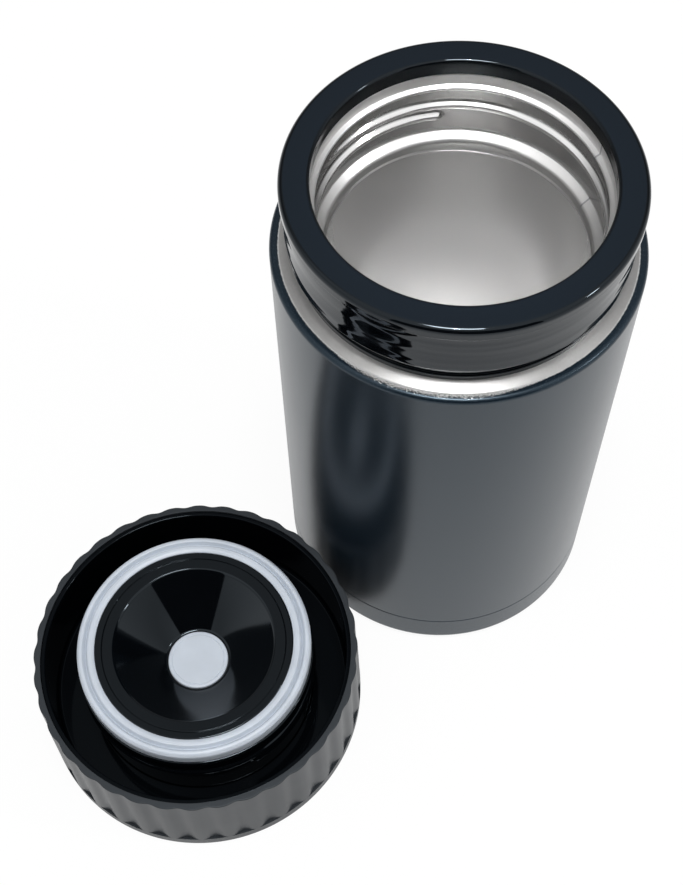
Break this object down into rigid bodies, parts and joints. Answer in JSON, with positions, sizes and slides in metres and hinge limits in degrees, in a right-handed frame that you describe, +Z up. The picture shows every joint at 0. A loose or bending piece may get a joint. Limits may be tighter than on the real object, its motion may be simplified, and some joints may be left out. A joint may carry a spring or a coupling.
{
  "type": "insulated food jar",
  "caption": "Double-walled steel food jar with a plastic mouth collar, and its fluted screw stopper lid lying beside it upside down, with a press valve.",
  "frame": {"origin": "on the jar's axis, at the surface that the jar and the lid stand on", "axes": "+Z up along the jar's axis; the lid lies beside the jar towards -X and -Y, so that -Y is the front"},
  "size_m": [0.1539, 0.1416, 0.153],
  "materials": {
    "painted_steel": "satin powder coat, charcoal with a blue tint",
    "neck_steel": "polished at the neck, satin inside",
    "base_steel": "satin powder coat, charcoal with a blue tint",
    "inner_steel": "plain pressed steel",
    "seal_metal": "soft solder bead",
    "getter_metal": "sintered pellet",
    "foil": "copper foil",
    "collar_plastic": "glossy black moulding with a satin top face",
    "collar_rubber": "silicone",
    "cap_plastic": "satin dark grey moulding",
    "liner_plastic": "glossy black moulding",
    "gasket_silicone": "pale blue-grey silicone",
    "foam": "rigid foam",
    "valve_plastic": "plain moulding",
    "spring_steel": "drawn wire"
  },
  "bodies": {
    "jar": {"outer_shell": "painted_steel", "outer_base": "base_steel", "vacuum_seal": "seal_metal", "base_cover": "inner_steel", "getter_clip": "inner_steel", "getter": "getter_metal", "inner_vessel": "neck_steel", "foil_wrap": "foil", "mouth_collar": "collar_plastic", "collar_seal": "collar_rubber"},
    "lid": {"lid_cap": "cap_plastic", "lid_liner": "liner_plastic", "plug_body": "liner_plastic", "plug_dish": "liner_plastic", "plug_gasket": "gasket_silicone", "plug_foam": "foam", "valve_sleeve": "valve_plastic", "valve_spring": "spring_steel"},
    "valve": {"valve_button": "valve_plastic", "valve_stem": "valve_plastic", "valve_disc": "gasket_silicone"}
  },
  "joints": [
    {"name": "lid_lift", "type": "slide", "parent": "jar", "child": "lid", "axis": [0, 0, 1], "range_m": [0, 0.17]},
    {"name": "valve_press", "type": "slide", "parent": "lid", "child": "valve", "axis": [0, 0, 1], "range_m": [0, 0.002], "stiffness_N_per_m": 150, "springref_m": -0.004, "deforming": ["valve_spring"]}
  ]
}
